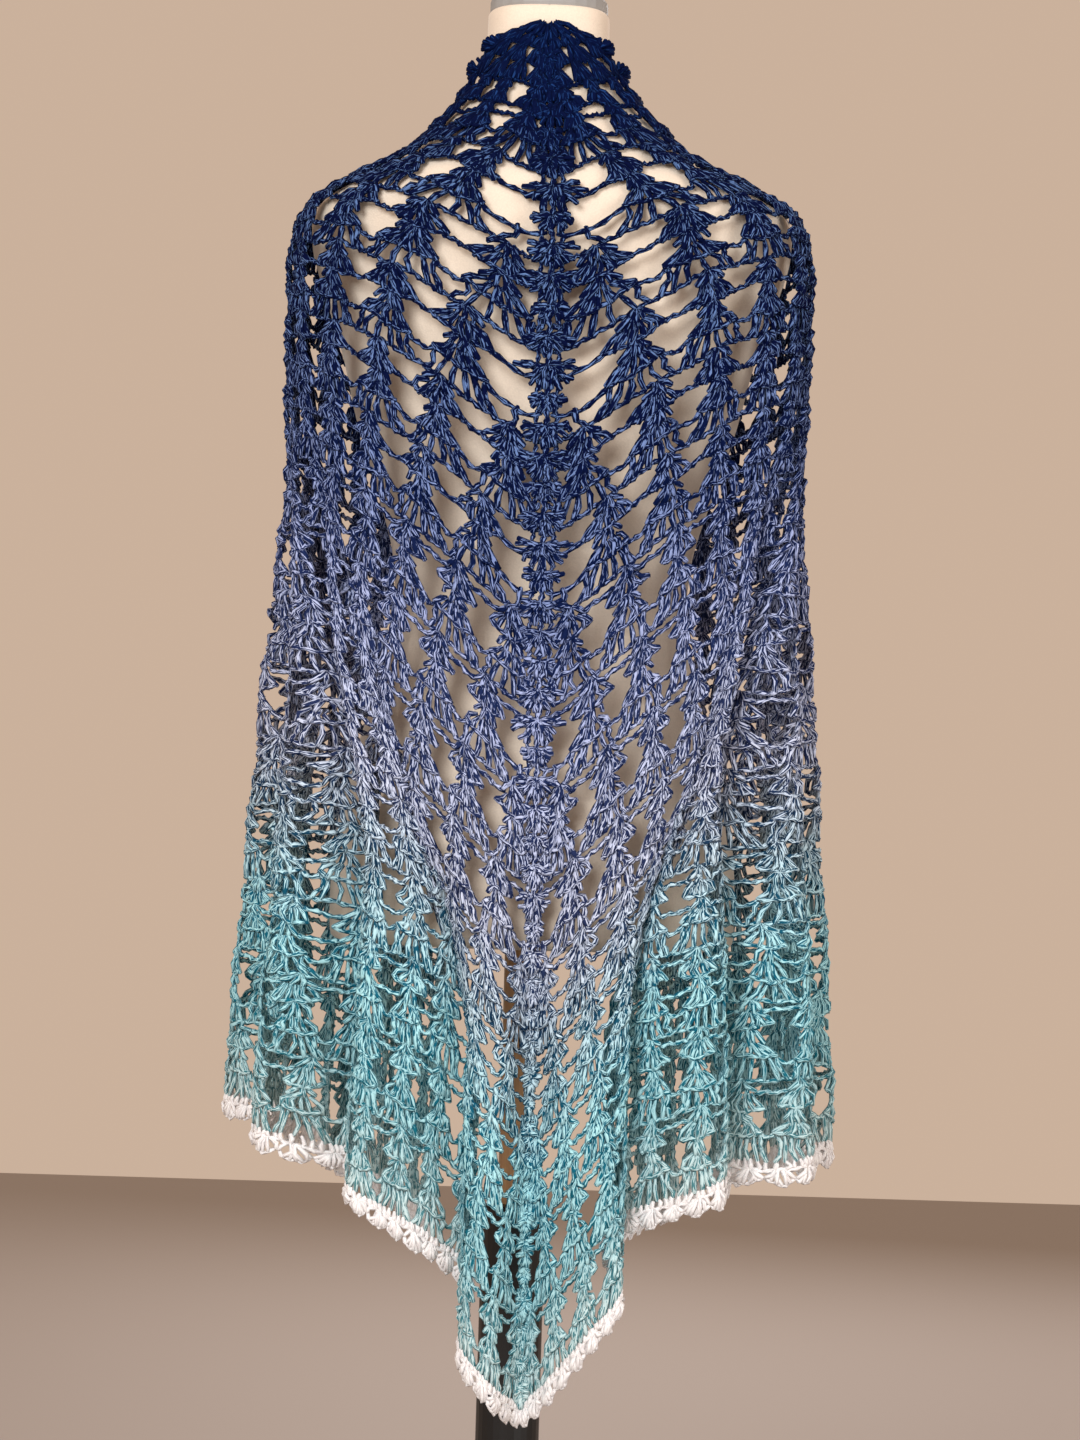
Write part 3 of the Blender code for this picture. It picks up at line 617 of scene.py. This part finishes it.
def spine_leaves():
    """Fans of stitches that leave the centre line at angles from steep to flat, three groups a row."""
    out = []
    at = np.arange(RUN_START, 0.990, 1 / 3 / ROW_COUNT)
    reach = LEAF_REACH[(np.arange(len(at)) + 1) % 3]
    for side in (-1, 1):
        for angle in LEAF_ANGLES:
            for inward in (1.0, 0.55):
                far = reach * inward * rng.uniform(0.88, 1.1, len(at)) * (1.0 - 0.25 * (angle > 70))
                turn = np.radians(angle + 6 * (inward < 1) + rng.normal(0, 3, len(at)))
                dx = far * np.sin(turn) / half_row(at)
                dt = far * np.cos(turn) / DOWN_SCALE
                foot = 0.35 * far * (inward == 1.0)
                out.append(posts(side * (0.0008 + foot * np.sin(turn)) / half_row(at),
                                 at + foot * np.cos(turn) / DOWN_SCALE, side * dx, at + dt,
                                 radius=0.0024, lift=0.0030))
    line = np.linspace(RUN_START, 1.0, 161)[None]
    out.append(chain(0 * line + 0.0001, line, RUN_LENGTH, radius=0.0027, lift=0.0016))
    wave = (0.0052 + 0.0014 * np.sin(line * 2 * math.pi * 3 * ROW_COUNT)) / half_row(line)
    for way in (-1, 1):
        out.append(chain(way * wave, line, RUN_LENGTH, radius=0.0021, lift=0.0004))
    return out


def front_border(side):
    """Short stitches across the border, a chain along either side, and small shells that stand out."""
    out = []
    step = 0.0046 / DOWN_SCALE
    at = np.arange(RUN_START, 0.998, step)
    out.append(posts(side * (1 - BORDER_WIDTH / half_row(at)), at, side * np.ones_like(at), at + 0.3 * step,
                     radius=0.0020, lift=0.0012))
    line = np.linspace(RUN_START, 1.0, 161)[None]
    for inset in (0.0, BORDER_WIDTH):
        out.append(chain(side * (1 - inset / half_row(line)), line, RUN_LENGTH, radius=0.0021, lift=0.0006))
    at = np.arange(0.040, 0.99, 0.024 / DOWN_SCALE)[:, None]
    spread = np.linspace(-1, 1, 6)
    foot = at + 0.0020 * spread
    head = at + 0.0072 * spread
    tall = 0.0085 * (1 - 0.5 * spread ** 2) + 0 * foot
    out.append(posts(side * (1 - 0.008 / half_row(foot)), foot, side * np.ones_like(foot), head,
                     radius=0.0023, rise=tall))
    return out


# %% [markdown]
# ## The white shells along the hem
# A crocheted edge starts with a row of short close stitches, and then a shell of seven tall
# ones grows from about every fourth of them. A chain along their heads gives a rounded rim.


# %% Shell edging
SHELLS = 62
CLOSE_PITCH = 0.0042     # metres from one close stitch to the next


def edging(side):
    """Close stitches along the hem line, shells of seven below them, and a scalloped rim."""
    out = []
    length = float(half_row(1.0))
    count = round(length / CLOSE_PITCH)
    close = (np.arange(count) + 0.5) / count
    out.append(posts(side * close, 1.0000, side * close, 1.0065, radius=0.0021, lift=0.0010))
    line = np.linspace(0.0, 1, 201)[None]
    out.append(chain(side * np.maximum(line, 2e-4), np.full_like(line, 1.0068), length,
                     radius=0.0019, lift=0.0008))
    at = ((np.arange(SHELLS) + 0.5) / SHELLS)[:, None]
    spread = np.linspace(-1, 1, 7)
    foot = at + 0.12 / SHELLS * spread
    head = at + 0.47 / SHELLS * spread
    out.append(posts(side * foot, 1.0065 + 0 * foot, side * head, 1.0200 - 0.0060 * spread ** 2 + 0 * head,
                     radius=0.0018, lift=0.0020))
    rim = np.linspace(-1, 1, 9)
    scallop = 1.0205 - 0.0070 * rim ** 2 + 0 * at
    out.append(chain(side * (at + 0.49 / SHELLS * rim), scallop, 0.022, radius=0.0017))
    return out


# %% Lay the lace in eight pieces, and the borders, the hem and the spine
STRETCHES = {"yoke": range(2, 8), "middle": range(8, 12), "skirt": range(12, 15), "low": range(15, 17)}
for side, word in ((-1, "left"), (1, "right")):
    for label, rows in STRETCHES.items():
        parts = collar(side) if label == "yoke" else []
        for row in rows:
            parts += pattern_row(side, row)
        yarn_object(f"yarn_{word}_{label}", parts, lace_yarn)
    yarn_object(f"border_{word}", front_border(side), lace_yarn)
    yarn_object(f"edging_{word}", edging(side), white_yarn)
yarn_object("spine_leaves", spine_leaves(), lace_yarn)

# %% Say what each piece stands for
def stands_for(piece, node_name):
    """The piece rides on the one body and hides its solid."""
    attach(piece, "root")
    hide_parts(node_name)


for word in ("left", "right"):
    for label in STRETCHES:
        stands_for(pieces[f"yarn_{word}_{label}"], f"lace_{word}")
    stands_for(pieces[f"border_{word}"], f"edge_{word}")
    stands_for(pieces[f"edging_{word}"], f"hem_{word}")
stands_for(pieces["spine_leaves"], "spine_column")
print("pieces of yarn", len(pieces))

# %% How large the whole shawl is when it lies flat
FLAT_DOWN = {"yoke": (0.006, 7 / ROW_COUNT), "middle": (7 / ROW_COUNT, 11 / ROW_COUNT),
             "skirt": (11 / ROW_COUNT, 14 / ROW_COUNT), "low": (14 / ROW_COUNT, 1.0)}
whole_cut = 0.0
for word in ("left", "right"):
    for label, (first, last) in FLAT_DOWN.items():
        steps = np.linspace(first, last, 41)
        area = float(np.mean(half_row(steps))) * DOWN_SCALE * (last - first)
        whole_cut += area
print("cut of the whole shawl, square metres", round(whole_cut, 3))

# %% [markdown]
# ## The form under the shawl
# The form is a padded shell under a stretched knit cover. Its shape is a stack of ovals with
# a smooth curve through them, the same ovals as the solid it stands for. Four seams draw the
# cover in a little, and the waist, where the knit is slack, has shallow upright wrinkles.
# It could be sculpted, but ovals keep it where its solid is and clear of the cloth.

# %% The form's ovals and its point at a height and an azimuth
# height, half width, back depth, front depth
FORM = np.array((
    (1.406, 0.2040, 0.1080, 0.1030), (1.385, 0.2030, 0.1100, 0.1080), (1.345, 0.1920, 0.1110, 0.1160),
    (1.290, 0.1740, 0.1090, 0.1260), (1.240, 0.1620, 0.1030, 0.1300), (1.180, 0.1430, 0.0950, 0.1120),
    (1.120, 0.1270, 0.0880, 0.0930), (1.080, 0.1240, 0.0860, 0.0890), (1.030, 0.1310, 0.0920, 0.0930),
    (0.960, 0.1530, 0.1060, 0.1020), (0.890, 0.1680, 0.1150, 0.1060), (0.830, 0.1720, 0.1160, 0.1060),
    (0.800, 0.1710, 0.1140, 0.1046),
))
FORM_BOTTOM, FORM_TOP = 0.800, 1.585
FORM_CENTRE = 0.008                       # the form's middle in X
OWN_TOP, CLOTH_FROM = 1.406, 1.418        # heights where its own ovals end and the cloth's begin
BLEND = 0.012                             # metres between the two
UNDER_CLOTH, LOWERED = 0.0027, 0.0028     # it lies this far inside the cloth, and this much lower
SEAM_DEPTH, SEAM_WIDTH = 0.0010, 0.022    # metres, radians
WAIST, WAIST_SPAN, WRINKLE_DEPTH = 1.04, 0.13, 0.0006   # metres: height, reach up and down, depth


def form_point(z, azimuth):
    """The form's own ovals below, the cloth's a little further in above, and a straight blend between.

    Seams are narrow bell curves at four azimuths, and wrinkles a wide one in height times two waves round it.
    """
    off_seam = (azimuth + math.pi / 4) % (math.pi / 2) - math.pi / 4
    sunk = -SEAM_DEPTH * np.exp(-(off_seam / SEAM_WIDTH) ** 2)
    waves = 2 + np.sin(23 * azimuth + 9 * z) + np.sin(37 * azimuth - 7 * z)
    sunk = sunk - WRINKLE_DEPTH * (np.exp(-((z - WAIST) / WAIST_SPAN) ** 2) * waves)
    x, y = section(FORM, np.minimum(z, OWN_TOP), azimuth, sunk)
    low = np.stack([x + FORM_CENTRE, y, z], -1)
    cloth_z = np.maximum(z, CLOTH_FROM) + LOWERED
    x, y = section(ENVELOPE, cloth_z, azimuth, sunk - UNDER_CLOTH)
    high = np.stack([x + follow(-cloth_z, -ENVELOPE[:, 0], ENVELOPE[:, 4]), y, z], -1)
    share = np.clip((z - OWN_TOP) / BLEND, 0, 1)[..., None]
    return low + (high - low) * share


# %% A closed skin of rings with a rounded rim above and below
FORM_POINTS = 144        # points in a ring
RIM_BELOW, RIM_ABOVE = (0.3, 0.8, 0.982, 0.994), (0.98, 0.5)


def form_skin():
    """Rings of points; the rims draw in by shares of the radius and a pole closes each end."""
    z = np.concatenate([[FORM_BOTTOM] * 3, [FORM_BOTTOM + 0.002],
                        np.arange(FORM_BOTTOM + 0.006, FORM_TOP - 0.004, 0.007),
                        [FORM_TOP - 0.0015, FORM_TOP, FORM_TOP]])
    shrink = np.ones_like(z)
    shrink[:4] = RIM_BELOW
    shrink[-2:] = RIM_ABOVE
    azimuth = np.linspace(0, 2 * math.pi, FORM_POINTS, endpoint=False)
    zz, aa = np.meshgrid(z, azimuth, indexing="ij")
    skin = form_point(zz, aa)
    middle = skin.mean(1, keepdims=True)
    skin = middle + (skin - middle) * np.stack([shrink, shrink, np.ones_like(z)], -1)[:, None]
    skin[..., 2] = zz
    count = zz.size
    ids = np.arange(count).reshape(zz.shape)
    after = np.roll(ids, -1, 1)
    quads = np.stack([ids[:-1], after[:-1], after[1:], ids[1:]], -1).reshape(-1, 4)
    caps = np.concatenate([np.stack([after[0], ids[0], np.full(FORM_POINTS, count)], -1),
                           np.stack([ids[-1], after[-1], np.full(FORM_POINTS, count + 1)], -1)])
    mesh = bpy.data.meshes.new("form_cover")
    points = np.concatenate([skin.reshape(-1, 3), middle[[0, -1], 0]])
    mesh.from_pydata(points, [], quads.tolist() + caps.tolist())
    mesh.shade_smooth()
    made = bpy.data.objects.new("form_cover", mesh)
    bpy.context.scene.collection.objects.link(made)
    print("form_cover rings", len(z), "triangles", 2 * len(quads) + len(caps))
    return made


form_cover = form_skin()
stands_for(form_cover, "form_torso")

# %% [markdown]
# ## Finishes of the form and its stand
# The neck has a moulded cap, and below the form are a varnished wooden post and a black
# steel column. These solids keep their own meshes and only get their finishes here, made
# of noise on Object coordinates, because such solids have no flat map.


# %% Knit cover, cap, wood and black steel
def jersey():
    """Cream knit on Object coordinates: soft clouds of two creams, and small cells with darker rims."""
    made, tree, shader = material("cream_knit", Roughness=0.85, Sheen_Weight=0.25, Sheen_Roughness=0.5)
    place = node(tree, "ShaderNodeTexCoord", out="Object")
    cloudy = node(tree, "ShaderNodeTexNoise", None, {"Vector": place, "Scale": 9.0, "Detail": 4.0})
    knit = node(tree, "ShaderNodeTexVoronoi", None, {"Vector": place, "Scale": 650.0})
    colour = mixed(tree, cloudy, (0.82, 0.68, 0.54), (0.92, 0.79, 0.65))
    tree.links.new(mixed(tree, knit * 0.25, colour, (0.55, 0.45, 0.36)).socket, shader.inputs["Base Color"])
    raised = node(tree, "ShaderNodeBump", None, {"Strength": 0.35, "Distance": 0.0004, "Height": knit})
    tree.links.new(raised.socket, shader.inputs["Normal"])
    return made


def moulded(name, colour, roughness, scale):
    """Satin surface whose colour and gloss drift a little with noise on Object coordinates."""
    made, tree, shader = material(name)
    place = node(tree, "ShaderNodeTexCoord", out="Object")
    cloudy = node(tree, "ShaderNodeTexNoise", None, {"Vector": place, "Scale": scale, "Detail": 5.0})
    dark = tuple(0.8 * c for c in colour)
    light = tuple(min(1, 1.15 * c) for c in colour)
    tree.links.new(mixed(tree, cloudy, dark, light).socket, shader.inputs["Base Color"])
    tree.links.new((cloudy * 0.15 + (roughness - 0.07)).socket, shader.inputs["Roughness"])
    fine = node(tree, "ShaderNodeTexNoise", None, {"Vector": place, "Scale": 900.0, "Detail": 2.0})
    raised = node(tree, "ShaderNodeBump", None, {"Strength": 0.15, "Distance": 0.0003, "Height": fine})
    tree.links.new(raised.socket, shader.inputs["Normal"])
    return made


def wood():
    """Long grain: noise on Object coordinates squeezed along Z, under a clear varnish."""
    made, tree, shader = material("varnished_wood", Coat_Weight=0.4, Coat_Roughness=0.2)
    place = node(tree, "ShaderNodeTexCoord", out="Object")
    drawn = node(tree, "ShaderNodeMapping", None, {"Vector": place, "Scale": (1.0, 1.0, 0.06)})
    grain = node(tree, "ShaderNodeTexNoise", None, {"Vector": drawn, "Scale": 260.0, "Detail": 4.0})
    colour = mixed(tree, grain, (0.30, 0.14, 0.055), (0.62, 0.36, 0.17))
    tree.links.new(colour.socket, shader.inputs["Base Color"])
    tree.links.new((grain * 0.2 + 0.35).socket, shader.inputs["Roughness"])
    return made


covers = {
    "neck_cap": moulded("grey_cap", (0.33, 0.32, 0.31), 0.55, 40.0),
    "form_post": wood(),
    "stand_column": moulded("black_steel", (0.0045, 0.0045, 0.005), 0.40, 30.0),
}
covers["stand_base"] = covers["stand_column"]
for name, cover in covers.items():
    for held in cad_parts[name].material_slots:
        held.material = cover
form_cover.data.materials.append(jersey())
print("covers", sorted(covers))

# %% [markdown]
# ## Studio
# A plain pale floor and three wide soft lights: the main one stands at the upper left behind
# the camera, a weaker one low at its right, and one on the far side lights the open front.
# The camera looks level, and leans as the photograph does.


# %% Floor, lights and camera
FLOOR_LEVEL = -0.0005
BACKDROP, BACKDROP_STRENGTH = (0.66, 0.49, 0.37, 1), 0.90
CAMERA_PLACE = (0.010, -2.70, 0.988)
HALF_HEIGHT = 0.612      # metres from the middle of the picture to its top, at the form's axis
LEAN = 0.0297            # radians


def floor():
    """One large quad just under the base."""
    mesh = bpy.data.meshes.new("floor")
    corners = [(x, y, FLOOR_LEVEL) for x, y in ((-6, -6), (6, -6), (6, 4), (-6, 4))]
    mesh.from_pydata(corners, [], [(0, 1, 2, 3)])
    made = bpy.data.objects.new("floor", mesh)
    bpy.context.scene.collection.objects.link(made)
    paint, _, shader = material("pale_floor", Roughness=0.8)
    shader.inputs["Base Color"].default_value = (0.35, 0.30, 0.27, 1)
    mesh.materials.append(paint)


floor()


def soft_light(name, place, aim, size, power, colour):
    """A square area light at a place, turned to face a point."""
    data = bpy.data.lights.new(name, "AREA")
    data.shape, data.size, data.energy, data.color = "SQUARE", size, power, colour
    lamp = bpy.data.objects.new(name, data)
    lamp.location = place
    way = np.array(aim) - np.array(place)
    tilt = math.acos(-way[2] / np.linalg.norm(way))
    lamp.rotation_euler = (tilt, 0, math.atan2(way[1], way[0]) - math.pi / 2)
    bpy.context.scene.collection.objects.link(lamp)


soft_light("key", (-1.2, -3.2, 2.2), (0, 0, 0.95), 1.5, 100, (0.95, 0.98, 1.0))
soft_light("fill", (2.4, -2.4, 1.3), (0, 0, 0.95), 1.8, 44, (0.95, 0.98, 1.0))
soft_light("rear", (0.5, 2.8, 2.0), (0, 0, 1.0), 2.0, 45, (0.98, 0.98, 1.0))
world = bpy.data.worlds.new("studio")
bpy.context.scene.world = world
world.use_nodes = True
backdrop = world.node_tree.nodes["Background"]
backdrop.inputs[0].default_value = BACKDROP
backdrop.inputs[1].default_value = BACKDROP_STRENGTH

lens = bpy.data.cameras.new("camera")
camera = bpy.data.objects.new("camera", lens)
bpy.context.scene.collection.objects.link(camera)
bpy.context.scene.camera = camera
lens.sensor_fit, lens.sensor_height = "VERTICAL", 24.0
lens.angle_y = 2 * math.atan(HALF_HEIGHT / -CAMERA_PLACE[1])
camera.location = CAMERA_PLACE
camera.rotation_euler = (math.pi / 2, -LEAN, 0)
bpy.context.scene.view_settings.view_transform = "Standard"

# %% Finish
bpy.context.view_layer.update()
